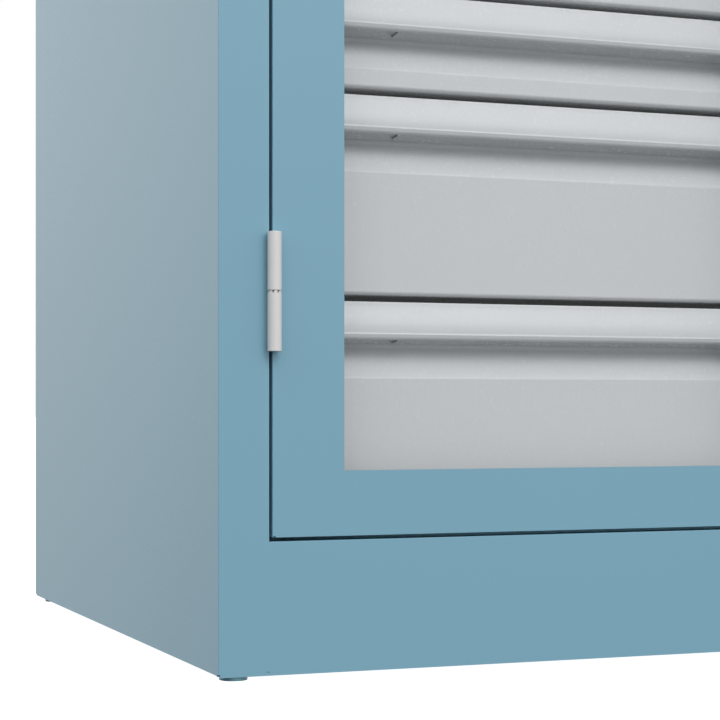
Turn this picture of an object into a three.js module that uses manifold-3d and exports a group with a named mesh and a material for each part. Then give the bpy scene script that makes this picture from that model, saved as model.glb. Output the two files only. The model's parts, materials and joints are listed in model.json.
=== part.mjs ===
// A heavy-duty drawer cabinet: a welded sheet-steel carcass on four levelling feet, two doors with
// clear windows, and six full-width drawers on telescopic slides behind them.
// Millimetres, +Z up. The front faces -Y, X is 0 in the middle of the width, Y is 0 at the front
// face, and Z is 0 at the bottom edge of the carcass. The whole group is then moved, so that its
// origin lies under the middle of the object, on the surface that it stands on.
import * as THREE from "three";
import { mergeVertices } from "three/addons/utils/BufferGeometryUtils.js";
import Module from "manifold-3d";

const wasm = await Module();
wasm.setup();

// Whole cabinet
const width = 1000;
const depth = 600;
const bodyHeight = 796.5;

// Clearances
const gap = 0.3; // between pieces that touch, or that slide on each other
const overrun = 1; // how far a cutter passes the faces that it cuts

// Carcass sheets
const sheet = 1.5;
const stileWidth = 37.2;
const stileReturn = 24;
const rearFlange = 20;
const sideFoot = 30;
const rearBevelDepth = 8;
const rearBevelHeight = 3;
const plinthHeight = 93.1;
const plinthReturn = 40;
const plinthFoot = 30;
const topRailHeight = 37.2;
const topRailReturn = 24;
const innerFlange = 20;

// Levelling feet
const footHeight = 3.5;
const footRadius = 10;
const footBevel = 0.8;
const footFromSide = 14.5;
const footFromFront = 11.5;
const footFromRear = 25;
const footStemRadius = 4;
const footStemLength = 24;
const footNutRadius = 8;
const footNutHeight = 6.5;

// Doors
const doorGap = 2.4;
const doorDepth = 15;
const doorWall = 1.5;
const doorStile = 53.6;
const doorRail = 46.1;
const paneThickness = 3;
const paneLap = 8;
const retainerLeg = 2.5;
const retainerWall = 2;
const retainerLap = 5;

// Hinges, welded over the gap beside each door
const hingeHeight = 83.2;
const hingeRadius = 5;
const hingeBevel = 0.5;
const hingeFromEnd = 171.2; // from the door's bottom or top edge to the middle of a hinge
const hingeFromStile = 2;
const hingeRingHeight = 1.5;
const hingeRingRadius = 4.2;
const hingePinRadius = 2.6;
const hingePinLength = 30;
const hingeHeelWidth = 2;
const hingeHeelHeight = 34;

// Lock, on the free stile of the right door
const lockFromEdge = 24;
const escutcheonRadius = 20;
const escutcheonThickness = 4;
const knobRadius = 16;
const knobThickness = 9;
const knobBevel = 1.2;
const knobWingLength = 30;
const knobWingWidth = 10;
const knobWingHeight = 13;
const shaftRadius = 4;
const shaftSquare = 2.8; // half the side of the square end
const camThickness = 2.5;
const camDepth = 4.5;
const camRim = 2;
const crank = 8.5;
const crankRestAngle = Math.PI / 4;
const crankPinRadius = 2;
const crankSlotClearance = 0.5;
const rodWidth = 13;
const rodThickness = 3;
const rodDepth = 8;
const rodEnd = 5;
const rodTipInset = 0.5;
const strikeClearance = 1.5;
const guideWidth = 18;
const guideHeight = 12;
const guideCover = 2;
const guideFromEnd = 60;

// Magnetic catch of the left door
const catchWidth = 46;
const catchHeight = 14;
const catchDepth = 20;
const catchFromEdge = 40;
const catchPlateWall = 1.5;

// Drawers: low ones, and under them tall ones that share the rest of the height
const lowDrawerCount = 4;
const tallDrawerCount = 2;
const lowPitch = 75; // the height that a low drawer takes in the stack
const stackLift = 20; // from the plinth to the lowest drawer
const stackTopRoom = 46.2; // from the highest drawer to the top rail
const frontInset = 68; // from the cabinet's side to the end of a drawer front
const frontWall = 1.5;
const frontLift = 4.7;
const frontBend = 3;
const frontDepth = 29.5;
const gripTopDepth = 29;
const gripFaceDepth = 24.6;
const gripFaceDrop = 8;
const lipDepth = 24;
const lipDrop = 23.7;
const lipBottomDepth = 24.8;
const lipBottomDrop = 27.4;
const recessDepth = 47;
const recessDrop = 30.4;
const kinkDepth = 30;
const kinkDrop = 55.5;
const trayInset = 84;
const trayWall = 1.2;
const trayLift = 12;
const trayTopDrop = 6;
const trayRearClearance = 36;

// Slides
const slideWidth = 19;
const slideHeight = 46;
const slideWall = 1.8;
const slideFlange = 12;
const slideSetback = 54;
const slideLength = 500;
const slideFromTrayBottom = 28.5;
const uprightWidth = 40;
const uprightFromRailEnd = 6;

// How finely round shapes are divided
const roundSteps = 24;
const curveSteps = 5;
const weldShare = 1e-6; // of the width: vertices nearer than this are one vertex

// Finishes
const bluePaint = { color: 0x7ba6b9, roughness: 0.5, metalness: 0 };
const greyPaint = { color: 0xc3c4c6, roughness: 0.5, metalness: 0 };
const zinc = { color: 0xcfcfcf, roughness: 0.35, metalness: 0.8 };
const darkZinc = { color: 0x5f6f7a, roughness: 0.4, metalness: 0.8 };
const aluminium = { color: 0xb8babc, roughness: 0.4, metalness: 0.9 };
const blackPlastic = { color: 0x1d1e20, roughness: 0.6, metalness: 0 };
const clearPlastic = { color: 0xf4f8f8, roughness: 0.05, metalness: 0, transparent: true, opacity: 0.2 };

// Places that several pieces share
const sideX = width / 2;
const leafWidth = (width - 2 * stileWidth - 3 * doorGap) / 2;
const leafHeight = bodyHeight - topRailHeight - plinthHeight - 2 * doorGap;
const leafX = sideX - stileWidth - doorGap;
const leafZ = plinthHeight + doorGap;
const hingeX = sideX - stileWidth - hingeFromStile;
const hingeY = -(hingeRadius + gap);
const hingeHalf = (hingeHeight - hingeRingHeight) / 2;
const coverBottom = bodyHeight - sheet - gap; // upper end of what stands under the top sheet
const floorTop = plinthHeight - sheet - gap;
const knobBack = gap + escutcheonThickness + gap;
const frontReach = knobBack + knobThickness + knobWingHeight;
const lockU = leafWidth - lockFromEdge;
const slotReach = (crank * (1 - Math.cos(crankRestAngle))) / 2;
const rodOffset = crank - slotReach;
const crankDrop = crank * Math.sin(crankRestAngle);
const stackBottom = plinthHeight + stackLift;
const stackHeight = bodyHeight - topRailHeight - stackTopRoom - stackBottom;
const tallPitch = (stackHeight - lowDrawerCount * lowPitch) / tallDrawerCount;
const returnsEnd = recessDepth + 2 * frontWall;
const trayFront = returnsEnd + gap;
const trayX = sideX - trayInset;
const slideX = trayX + slideWidth; // back of the fixed slide, on the upright

// Geometry helpers
const point = (x, y) => new THREE.Vector2(x, y);

function rectangle(x0, y0, x1, y1) {
  return [point(x0, y0), point(x1, y0), point(x1, y1), point(x0, y1)];
}

// The closed outline of a sheet that is folded along a path. Its wall lies on the right of the path,
// or on the left where the wall is negative.
function foldedSheet(path, wall) {
  const rightOf = (from, to) => {
    const along = to.clone().sub(from).normalize();
    return point(along.y, -along.x);
  };
  const last = path.length - 1;
  const inner = path.map((corner, i) => {
    const before = i > 0 ? rightOf(path[i - 1], corner) : rightOf(corner, path[1]);
    const after = i < last ? rightOf(corner, path[i + 1]) : before;
    const mitre = wall / (1 + before.dot(after));
    return before.clone().add(after).multiplyScalar(mitre).add(corner);
  });
  return path.concat(inner.reverse());
}

function extrusion(outline, length, hole) {
  const shape = new THREE.Shape(outline);
  if (hole) shape.holes.push(new THREE.Path(hole));
  return new THREE.ExtrudeGeometry(shape, { depth: length, bevelEnabled: false });
}

// An outline in Y and Z, drawn out along X
function alongX(outline, from, to) {
  const axes = new THREE.Matrix4().makeBasis(
    new THREE.Vector3(0, 1, 0),
    new THREE.Vector3(0, 0, 1),
    new THREE.Vector3(1, 0, 0),
  );
  return extrusion(outline, to - from).applyMatrix4(axes).translate(from, 0, 0);
}

// An outline in X and Z, drawn out along Y
function alongY(outline, from, to, hole) {
  return extrusion(outline, to - from, hole).rotateX(Math.PI / 2).translate(0, to, 0);
}

// An outline in X and Y, drawn out along Z
function alongZ(outline, from, to) {
  return extrusion(outline, to - from).translate(0, 0, from);
}

function box(x0, x1, y0, y1, z0, z1) {
  return alongZ(rectangle(x0, y0, x1, y1), z0, z1);
}

// A profile of radius and height, turned round the Z axis
function turned(profile) {
  return new THREE.LatheGeometry(profile, roundSteps).rotateX(Math.PI / 2);
}

// A round bar along Y
function barY(radius, from, to, steps = roundSteps) {
  const bar = new THREE.CylinderGeometry(radius, radius, to - from, steps);
  return bar.translate(0, (from + to) / 2, 0);
}

function toSolid(geometry) {
  const bare = geometry.clone();
  bare.deleteAttribute("normal");
  bare.deleteAttribute("uv");
  const merged = mergeVertices(bare, weldShare * width);
  const mesh = new wasm.Mesh({
    numProp: 3,
    vertProperties: merged.attributes.position.array,
    triVerts: new Uint32Array(merged.index.array),
  });
  return new wasm.Manifold(mesh);
}

function toGeometry(solid) {
  const mesh = solid.getMesh();
  const geometry = new THREE.BufferGeometry();
  geometry.setAttribute("position", new THREE.BufferAttribute(mesh.vertProperties, 3));
  geometry.setIndex(new THREE.BufferAttribute(mesh.triVerts, 1));
  geometry.computeVertexNormals();
  return geometry;
}

// The first geometries joined, less the second ones
function joined(parts, cutters = []) {
  const whole = parts.map(toSolid).reduce((sum, next) => sum.add(next));
  return toGeometry(cutters.map(toSolid).reduce((rest, next) => rest.subtract(next), whole));
}

function addPiece(group, name, geometry, finish) {
  const mesh = new THREE.Mesh(geometry, new THREE.MeshStandardMaterial(finish));
  mesh.name = name;
  group.add(mesh);
  return mesh;
}

// A group on the left or on the right of the cabinet: what it holds is drawn for the left side,
// with X running from the group's own place towards the middle.
function sideGroup(parent, side, x) {
  const group = new THREE.Group();
  group.position.x = side * x;
  group.scale.x = -side;
  parent.add(group);
  return group;
}

const sides = [
  { label: "left", side: -1 },
  { label: "right", side: 1 },
];

// Carcass
function sidePanel() {
  const folds = foldedSheet(
    [
      point(stileWidth, stileReturn),
      point(stileWidth, 0),
      point(0, 0),
      point(0, depth),
      point(rearFlange, depth),
    ],
    sheet,
  );
  const parts = [
    alongZ(folds, 0, coverBottom),
    box(sheet / 2, sideFoot, sheet / 2, depth - sheet / 2, 0, sheet),
  ];
  const cutters = [alongX(rearBevel(), -overrun, sideFoot + overrun)];
  for (const y of [footFromFront, depth - footFromRear]) {
    const nut = new THREE.CylinderGeometry(footNutRadius, footNutRadius, footNutHeight, 6);
    nut.rotateX(Math.PI / 2).translate(footFromSide, y, footNutHeight / 2);
    parts.push(nut);
    const hole = new THREE.CylinderGeometry(1, 1, 1, roundSteps).rotateX(Math.PI / 2);
    const holeRadius = footStemRadius + gap;
    hole.scale(holeRadius, holeRadius, 2 * (footNutHeight + overrun));
    cutters.push(hole.translate(footFromSide, y, 0));
  }
  return joined(parts, cutters);
}

// The small bevel under the rear corner of a side, in Y and Z
function rearBevel() {
  return [
    point(depth - rearBevelDepth, 0),
    point(depth - rearBevelDepth, -overrun),
    point(depth + overrun, -overrun),
    point(depth + overrun, rearBevelHeight),
    point(depth, rearBevelHeight),
  ];
}

function foot() {
  const plate = footHeight - gap;
  return turned([
    point(0, 0),
    point(footRadius - footBevel, 0),
    point(footRadius, footBevel),
    point(footRadius, plate - footBevel),
    point(footRadius - footBevel, plate),
    point(footStemRadius, plate),
    point(footStemRadius, plate + footStemLength),
    point(0, plate + footStemLength),
  ]);
}

function plinthPanel() {
  const folds = foldedSheet(
    [
      point(plinthFoot, 0),
      point(0, 0),
      point(0, plinthHeight),
      point(plinthReturn, plinthHeight),
    ],
    sheet,
  );
  const half = sideX - stileWidth - gap;
  return joined([alongX(folds, -half, half)], [strikeHole(1, plinthHeight)]);
}

function topRail() {
  const bottom = bodyHeight - topRailHeight;
  const folds = foldedSheet(
    [
      point(topRailReturn, bottom),
      point(0, bottom),
      point(0, coverBottom),
      point(topRailReturn, coverBottom),
    ],
    sheet,
  );
  const half = sideX - stileWidth - gap;
  return joined([alongX(folds, -half, half)], [strikeHole(-1, bottom)]);
}

// The hole that a lock rod enters: side is 1 for the lower rod and -1 for the upper one
function strikeHole(side, z) {
  const middle = leafX - lockU - side * rodOffset;
  const reach = rodWidth / 2 + strikeClearance;
  return box(
    middle - reach,
    middle + reach,
    rodDepth - strikeClearance,
    rodDepth + rodThickness + strikeClearance,
    z - sheet - overrun,
    z + sheet + overrun,
  );
}

// A flat sheet with flanges turned down inside the two sides and the back
function flangedSheet(sheetOutline, top) {
  const half = sideX - sheet - gap;
  const rear = depth - 2 * (sheet + gap);
  const front = stileReturn + gap;
  const low = top - innerFlange;
  return joined([
    alongZ(sheetOutline, top - sheet, top),
    box(-half, -half + sheet, front, rear, low, top - sheet / 2),
    box(half - sheet, half, front, rear, low, top - sheet / 2),
    box(-half, half, rear - sheet, rear, low, top - sheet / 2),
  ]);
}

function topPanel() {
  return flangedSheet(rectangle(-sideX, 0, sideX, depth), bodyHeight);
}

function floorPanel() {
  const half = sideX - sheet - gap;
  const outline = rectangle(-half, stileReturn + gap, half, depth - 2 * (sheet + gap));
  return flangedSheet(outline, floorTop);
}

function backPanel() {
  const half = sideX - sheet - gap;
  const rear = depth - sheet - gap;
  return box(-half, half, rear - sheet, rear, sheet + gap + rearBevelHeight, coverBottom);
}

// Slides: a channel in X and Z that opens away from its web, centred on Z 0
function channel(x, z, height, flange, side) {
  const high = z + height / 2;
  const low = z - height / 2;
  const end = x + side * flange;
  return foldedSheet(
    [point(end, low), point(x, low), point(x, high), point(end, high)],
    side * slideWall,
  );
}

function slideZ(drawer) {
  return drawer.bottom + trayLift + slideFromTrayBottom;
}

// Two uprights with the fixed slides of all drawers welded on, X counted from the side's outer face
function runnerFrame() {
  const back = sideX - slideX;
  const low = floorTop + gap;
  const high = bodyHeight - innerFlange - gap;
  const first = slideSetback + uprightFromRailEnd;
  const second = slideSetback + slideLength - uprightFromRailEnd - uprightWidth;
  const uprights = [first, second].map((y) => {
    const folds = foldedSheet(
      [
        point(sheet + gap, y + uprightWidth),
        point(back, y + uprightWidth),
        point(back, y),
        point(sheet + gap, y),
      ],
      sheet,
    );
    return alongZ(folds, low, high);
  });
  const weld = sheet / 2;
  const rails = drawers.map((drawer) => {
    const outline = channel(back - weld, slideZ(drawer), slideHeight, slideFlange, 1);
    return alongY(outline, slideSetback, slideSetback + slideLength);
  });
  return joined([...uprights, ...rails]);
}

// The middle member of a slide, X counted from the side's outer face
function middleRail(drawer) {
  const web = sideX - slideX - sheet / 2 + slideWall + gap;
  const height = slideHeight - 2 * (slideWall + gap);
  const outline = channel(web, slideZ(drawer), height, slideFlange, 1);
  return alongY(outline, slideSetback, slideSetback + slideLength);
}

// Drawers: Z counted from the top of the grip
function frontPath(pitch) {
  const low = frontLift - pitch;
  const path = new THREE.Path();
  path.moveTo(returnsEnd, low);
  path.lineTo(frontDepth + frontBend, low);
  path.quadraticCurveTo(frontDepth, low, frontDepth, low + frontBend);
  path.lineTo(kinkDepth, -kinkDrop);
  path.lineTo(recessDepth, -recessDrop);
  path.lineTo(lipBottomDepth, -lipBottomDrop);
  path.lineTo(lipDepth, -lipDrop);
  path.quadraticCurveTo(gripFaceDepth, -gripFaceDrop, gripTopDepth, 0);
  path.lineTo(returnsEnd, 0);
  return path.getPoints(curveSteps);
}

function drawerFront(pitch) {
  const half = sideX - frontInset;
  const path = frontPath(pitch);
  return joined([
    alongX(foldedSheet(path, frontWall), -half, half),
    alongX(path, -half, -half + frontWall),
    alongX(path, half - frontWall, half),
  ]);
}

function drawerTray(pitch) {
  const low = trayLift - pitch;
  const high = -trayTopDrop;
  const rear = depth - trayRearClearance;
  const shell = box(-trayX, trayX, trayFront, rear, low, high);
  const hollow = box(
    trayWall - trayX,
    trayX - trayWall,
    trayFront + trayWall,
    rear - trayWall,
    low + trayWall,
    high + overrun,
  );
  const height = slideHeight - 4 * (slideWall + gap);
  const web = trayX - trayWall / 2;
  const outerWeb = slideX + sheet / 2 - 2 * (slideWall + gap);
  const flange = outerWeb - web;
  const members = sides.map(({ side }) => {
    const z = low + slideFromTrayBottom;
    const outline = channel(side * web, z, height, flange, side);
    return alongY(outline, slideSetback, slideSetback + slideLength);
  });
  return joined([toGeometry(toSolid(shell).subtract(toSolid(hollow))), ...members]);
}

// Doors: X counted from the hinge edge of the leaf, Z from its bottom edge
function ringY(x0, z0, x1, z1, wall, from, to) {
  const hole = rectangle(x0 + wall, z0 + wall, x1 - wall, z1 - wall);
  return alongY(rectangle(x0, z0, x1, z1), from, to, hole);
}

function doorFrame(extras, cutters) {
  const opening = rectangle(doorStile, doorRail, leafWidth - doorStile, leafHeight - doorRail);
  const skin = alongY(rectangle(0, 0, leafWidth, leafHeight), 0, doorWall, opening);
  const returns = ringY(0, 0, leafWidth, leafHeight, doorWall, 0, doorDepth);
  return joined([skin, returns, ...extras], cutters);
}

function windowPane() {
  return box(
    doorStile - paneLap,
    leafWidth - doorStile + paneLap,
    doorWall + gap,
    doorWall + gap + paneThickness,
    doorRail - paneLap,
    leafHeight - doorRail + paneLap,
  );
}

function paneRetainer() {
  const outX = doorStile - paneLap - gap - retainerLeg;
  const outZ = doorRail - paneLap - gap - retainerLeg;
  const rear = doorWall + paneThickness + 2 * gap;
  const wide = leafWidth - outX;
  const high = leafHeight - outZ;
  const lip = retainerLeg + gap + retainerLap;
  return joined([
    ringY(outX, outZ, wide, high, retainerLeg, doorWall + gap, rear + retainerWall),
    ringY(outX, outZ, wide, high, lip, rear, rear + retainerWall),
  ]);
}

// The half of a hinge that is welded to the stile, with its pin: Z counted from the hinge's bottom
function hingePintle() {
  const pinTop = hingeHalf + hingeRingHeight + hingePinLength;
  const barrel = turned([
    point(0, 0),
    point(hingeRadius - hingeBevel, 0),
    point(hingeRadius, hingeBevel),
    point(hingeRadius, hingeHalf - gap),
    point(hingeRingRadius, hingeHalf - gap),
    point(hingeRingRadius, hingeHalf + hingeRingHeight - gap),
    point(hingePinRadius, hingeHalf + hingeRingHeight - gap),
    point(hingePinRadius, pinTop),
    point(0, pinTop),
  ]);
  const edge = -hingeFromStile - gap;
  const low = (hingeHalf - hingeHeelHeight) / 2;
  return joined([barrel, heel(edge - hingeHeelWidth, edge, low)]);
}

// The half that is welded to the door, with the bore for the pin: Z counted from its own bottom
function hingeSleeve() {
  const bore = hingePinRadius + gap;
  const barrel = turned([
    point(0, hingePinLength + gap),
    point(bore, hingePinLength + gap),
    point(bore, 0),
    point(hingeRadius, 0),
    point(hingeRadius, hingeHalf - hingeBevel),
    point(hingeRadius - hingeBevel, hingeHalf),
    point(0, hingeHalf),
  ]);
  const edge = doorGap - hingeFromStile + gap;
  const low = (hingeHalf - hingeHeelHeight) / 2;
  return joined([barrel, heel(edge, edge + hingeHeelWidth, low)], [
    turned([
      point(0, -overrun),
      point(bore, -overrun),
      point(bore, hingePinLength + gap),
      point(0, hingePinLength + gap),
    ]),
  ]);
}

// The seat of a hinge half on the face behind it, from its barrel to just off the face
function heel(x0, x1, low) {
  return box(x0, x1, -hingePinRadius, -hingeY - gap, low, low + hingeHeelHeight);
}

// Lock pieces: X and Z counted from the knob's axis, with X running towards the door's free edge
function escutcheon() {
  const plate = barY(escutcheonRadius, -gap - escutcheonThickness, -gap);
  const hole = barY(shaftRadius + gap, -knobBack - overrun, overrun);
  return joined([plate], [hole]);
}

function knob() {
  const face = -knobBack - knobThickness;
  const wingEnd = knobWingLength / 2;
  const wingSide = knobWingWidth / 2;
  const wing = rectangle(-wingSide, -wingEnd, wingSide, wingEnd);
  const bevelled = new THREE.CylinderGeometry(knobRadius, knobRadius - knobBevel, knobBevel, roundSteps);
  return joined([
    barY(knobRadius, face + knobBevel, -knobBack),
    bevelled.translate(0, face + knobBevel / 2, 0),
    alongY(wing, face - knobWingHeight, face + knobBevel),
    barY(shaftRadius, -knobBack - knobBevel, camDepth - gap),
    alongY(square(shaftSquare), camDepth - 2 * gap, camDepth + camThickness),
  ]);
}

function square(half) {
  return rectangle(-half, -half, half, half);
}

function lockCam() {
  const rim = crank + crankPinRadius + camRim;
  const pinEnd = rodDepth + rodThickness + gap;
  const pins = [-1, 1].map((side) => {
    const pin = barY(crankPinRadius, camDepth + camThickness / 2, pinEnd);
    return pin.translate(side * crank * Math.cos(crankRestAngle), 0, side * crankDrop);
  });
  const disc = barY(rim, camDepth, camDepth + camThickness);
  const hole = alongY(square(shaftSquare + gap), camDepth - overrun, camDepth + camThickness + overrun);
  return joined([disc, ...pins], [hole]);
}

// A lock rod: side is -1 for the upper rod and 1 for the lower one
function lockRod(side) {
  const middle = side * rodOffset;
  const start = side * (crankDrop + crankPinRadius + crankSlotClearance + rodEnd);
  const end = -side * (leafHeight / 2 - rodTipInset);
  const bar = box(
    middle - rodWidth / 2,
    middle + rodWidth / 2,
    rodDepth,
    rodDepth + rodThickness,
    Math.min(start, end),
    Math.max(start, end),
  );
  const reachX = slotReach + crankPinRadius + crankSlotClearance;
  const reachZ = crankPinRadius + crankSlotClearance;
  const slot = box(
    middle - reachX,
    middle + reachX,
    rodDepth - overrun,
    rodDepth + rodThickness + overrun,
    side * crankDrop - reachZ,
    side * crankDrop + reachZ,
  );
  return joined([bar], [slot]);
}

// The room that a rod needs where it passes through something, in the frame of the lock
function rodPassage(side, low, high) {
  const middle = side * rodOffset;
  const reach = rodWidth / 2 + gap;
  return box(
    middle - reach,
    middle + reach,
    rodDepth - gap,
    rodDepth + rodThickness + gap,
    low,
    high,
  );
}

function rodGuide(side) {
  const middle = side * rodOffset;
  const z = -side * (leafHeight / 2 - guideFromEnd);
  const low = z - guideHeight / 2;
  const high = z + guideHeight / 2;
  const block = box(
    middle - guideWidth / 2,
    middle + guideWidth / 2,
    doorWall + gap,
    rodDepth + rodThickness + guideCover,
    low,
    high,
  );
  return joined([block], [rodPassage(side, low - overrun, high + overrun)]);
}

// The holes in the right leaf for the lock's shaft and for its two rods
function lockHoles() {
  const half = leafHeight / 2;
  const holes = [
    barY(shaftRadius + gap, -overrun, doorWall + overrun),
    rodPassage(-1, half - doorWall - overrun, half + overrun),
    rodPassage(1, -half - overrun, doorWall + overrun - half),
  ];
  return holes.map((hole) => hole.translate(lockU, 0, half));
}

// The steel plate on the left leaf that the magnetic catch holds
function catchPlate() {
  const middle = leafWidth - catchFromEdge;
  const high = leafHeight - doorWall / 2;
  return box(
    middle - catchWidth / 2,
    middle + catchWidth / 2,
    doorDepth - catchPlateWall,
    doorDepth,
    high - catchHeight,
    high,
  );
}

function magneticCatch() {
  const middle = catchFromEdge - leafWidth + leafX;
  const high = bodyHeight - topRailHeight - gap;
  return box(
    -middle - catchWidth / 2,
    catchWidth / 2 - middle,
    doorDepth + gap,
    doorDepth + gap + catchDepth,
    high - catchHeight,
    high,
  );
}

// Assembly
const drawers = [];
for (let number = 1; number <= tallDrawerCount + lowDrawerCount; number += 1) {
  const pitch = number > tallDrawerCount ? lowPitch : tallPitch;
  const bottom = number > 1 ? drawers.at(-1).top : stackBottom;
  drawers.push({ number, pitch, bottom, top: bottom + pitch });
}

const cabinet = new THREE.Group();
cabinet.position.set(0, (frontReach - depth) / 2, footHeight);

function addCarcass() {
  addPiece(cabinet, "top_panel", topPanel(), bluePaint);
  addPiece(cabinet, "floor_panel", floorPanel(), bluePaint);
  addPiece(cabinet, "back_panel", backPanel(), bluePaint);
  addPiece(cabinet, "plinth_panel", plinthPanel(), bluePaint);
  addPiece(cabinet, "top_rail", topRail(), bluePaint);
  addPiece(cabinet, "magnetic_catch", magneticCatch(), blackPlastic);
  for (const { label, side } of sides) {
    const group = sideGroup(cabinet, side, sideX);
    addPiece(group, label + "_side_panel", sidePanel(), bluePaint);
    addPiece(group, label + "_runner_frame", runnerFrame(), zinc);
    addFoot(group, "front_" + label + "_foot", footFromFront);
    addFoot(group, "rear_" + label + "_foot", depth - footFromRear);
    for (const drawer of drawers) {
      const name = "drawer_" + drawer.number + "_" + label + "_middle_rail";
      addPiece(group, name, middleRail(drawer), zinc);
    }
  }
}

function addFoot(group, name, y) {
  addPiece(group, name, foot(), darkZinc).position.set(footFromSide, y, -footHeight);
}

function addHinge(group, name, middleZ) {
  const x = sideX - hingeX;
  const bottom = middleZ - hingeHeight / 2;
  const sleeveBottom = bottom + hingeHalf + hingeRingHeight;
  addPiece(group, name + "_hinge_pintle", hingePintle(), zinc).position.set(x, hingeY, bottom);
  addPiece(group, name + "_hinge_sleeve", hingeSleeve(), zinc).position.set(x, hingeY, sleeveBottom);
}

function addDoor({ label, side }) {
  const hinges = sideGroup(cabinet, side, sideX);
  addHinge(hinges, label + "_lower", leafZ + hingeFromEnd);
  addHinge(hinges, label + "_upper", leafZ + leafHeight - hingeFromEnd);
  const door = sideGroup(cabinet, side, leafX);
  door.position.z = leafZ;
  const extras = label === "left" ? [catchPlate()] : [];
  const cutters = label === "right" ? lockHoles() : [];
  addPiece(door, label + "_door_frame", doorFrame(extras, cutters), bluePaint);
  addPiece(door, label + "_window_pane", windowPane(), clearPlastic);
  addPiece(door, label + "_pane_retainer", paneRetainer(), aluminium);
  if (label === "right") addLock(door);
}

function addLock(door) {
  const lock = new THREE.Group();
  lock.position.set(lockU, 0, leafHeight / 2);
  door.add(lock);
  addPiece(lock, "lock_escutcheon", escutcheon(), zinc);
  addPiece(lock, "lock_knob", knob(), blackPlastic);
  addPiece(lock, "lock_cam", lockCam(), zinc);
  addPiece(lock, "upper_lock_rod", lockRod(-1), zinc);
  addPiece(lock, "lower_lock_rod", lockRod(1), zinc);
  addPiece(lock, "upper_rod_guide", rodGuide(-1), blackPlastic);
  addPiece(lock, "lower_rod_guide", rodGuide(1), blackPlastic);
}

function addDrawer(drawer) {
  const group = new THREE.Group();
  group.position.z = drawer.top;
  cabinet.add(group);
  const name = "drawer_" + drawer.number;
  addPiece(group, name + "_front", drawerFront(drawer.pitch), greyPaint);
  addPiece(group, name + "_tray", drawerTray(drawer.pitch), greyPaint);
}

addCarcass();
sides.forEach(addDoor);
drawers.forEach(addDrawer);

export default cabinet;
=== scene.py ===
"""A heavy-duty drawer cabinet with window doors: its finishes, fine meshes, studio and camera.

Metres, in the frame of the model: the doors face -Y, +X is to the right and +Z up.
"""
import json
import math

import bmesh
import bpy
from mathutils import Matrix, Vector


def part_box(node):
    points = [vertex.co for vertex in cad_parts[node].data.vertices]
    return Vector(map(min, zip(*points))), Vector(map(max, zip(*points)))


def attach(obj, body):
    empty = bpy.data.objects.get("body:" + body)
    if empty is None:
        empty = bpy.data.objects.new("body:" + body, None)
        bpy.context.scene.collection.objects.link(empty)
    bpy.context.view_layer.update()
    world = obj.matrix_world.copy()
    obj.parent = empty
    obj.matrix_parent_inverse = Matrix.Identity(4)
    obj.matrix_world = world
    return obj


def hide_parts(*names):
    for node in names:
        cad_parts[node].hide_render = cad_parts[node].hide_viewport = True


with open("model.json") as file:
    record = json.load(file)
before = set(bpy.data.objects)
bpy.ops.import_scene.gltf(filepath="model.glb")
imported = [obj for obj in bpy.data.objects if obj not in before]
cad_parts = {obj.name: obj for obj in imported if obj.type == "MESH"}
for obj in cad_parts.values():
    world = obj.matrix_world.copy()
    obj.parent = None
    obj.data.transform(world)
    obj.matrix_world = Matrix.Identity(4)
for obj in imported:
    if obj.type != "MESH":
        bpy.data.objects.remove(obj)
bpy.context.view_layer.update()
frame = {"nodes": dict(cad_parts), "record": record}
nodes = frame["nodes"]

MM = 0.001
SIDES = {"left": -1, "right": 1}
DRAWERS = range(1, 7)

# Camera, where the photograph was taken from
PHOTO_WIDTH = 720  # px
FOCAL_LENGTH = 1876  # px
PRINCIPAL_X = 315  # px
HORIZON_Y = 406.2  # px
SENSOR = 36  # mm
CAMERA_PLACE = (-0.8892, -1.5211, 0.1905)
CAMERA_YAW = math.radians(-20.45)

# Studio
WHITE = (1, 1, 1, 1)
FLOOR_SIZE = 60
FLOOR_GREY = (0.25, 0.25, 0.25, 1)
FLOOR_ROUGHNESS = 0.9
FLOOR_GLOW = 1.0
BACKDROP_LEVEL = 1
SKY_LEVEL = 0.0
SKY_RISE = 0.66  # from just below the horizon to just above it
SKY_RISE_RANGE = (-0.25, 0.3)
SKY_LOBES = (  # axis, direction and strength of the soft lights all round
    ("X", 1, 0.45),
    ("Y", 1, 0.91),
    ("Y", -1, 0.54),
)
LAMP_AIM = (-0.25, -0.28, 0.3)
LAMP_DISTANCE = 7
LAMP_SIZE = 3.4
LAMPS = (  # name, degrees to the right, degrees up and power
    ("key", 0, 45, 157),
    ("fill", 20, 34, 80),
    ("left_high", -60, 60, 68),
    ("left_low", -90, 30, 68),
)

# Finishes: linear colours, and noise scales in cells per metre
BLUE = (0.167, 0.344, 0.444)
GREY = (0.565, 0.585, 0.60)
LIGHT_ZINC = (0.62, 0.62, 0.62)
BLUE_ZINC = (0.15, 0.31, 0.38)
ALUMINIUM = (0.6, 0.61, 0.62)
BLACK = (0.018, 0.018, 0.02)
CLEAR = (0.35, 0.38, 0.38, 1)
NOISE_RANGE = (0.3, 0.7)  # where nearly all of a noise's values lie
BUMP_HEIGHT = 0.02 * MM
PAINT_CLOUD = 6
PAINT_PEEL = 420
PAINT_GRAIN = 1500
PAINT_GRAIN_SHARE = 0.35
PAINT_TINT = 0.012
PAINT_GLOSS = 0.03
PLATE_CLOUD = 90
PLATE_LINES = 160
PLATE_STRETCH = (8, 8, 0.3)
PLATE_GLOSS = 0.05
MILL_LINES = 60
MILL_STRETCH = (1, 30, 30)
PLASTIC_GRAIN = 1800
WIPE_MARKS = 14
WIPE_STRETCH = (1, 1, 0.4)

# Places of the cabinet
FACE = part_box("plinth_panel")[0].y
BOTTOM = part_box("left_side_panel")[0].z

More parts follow.
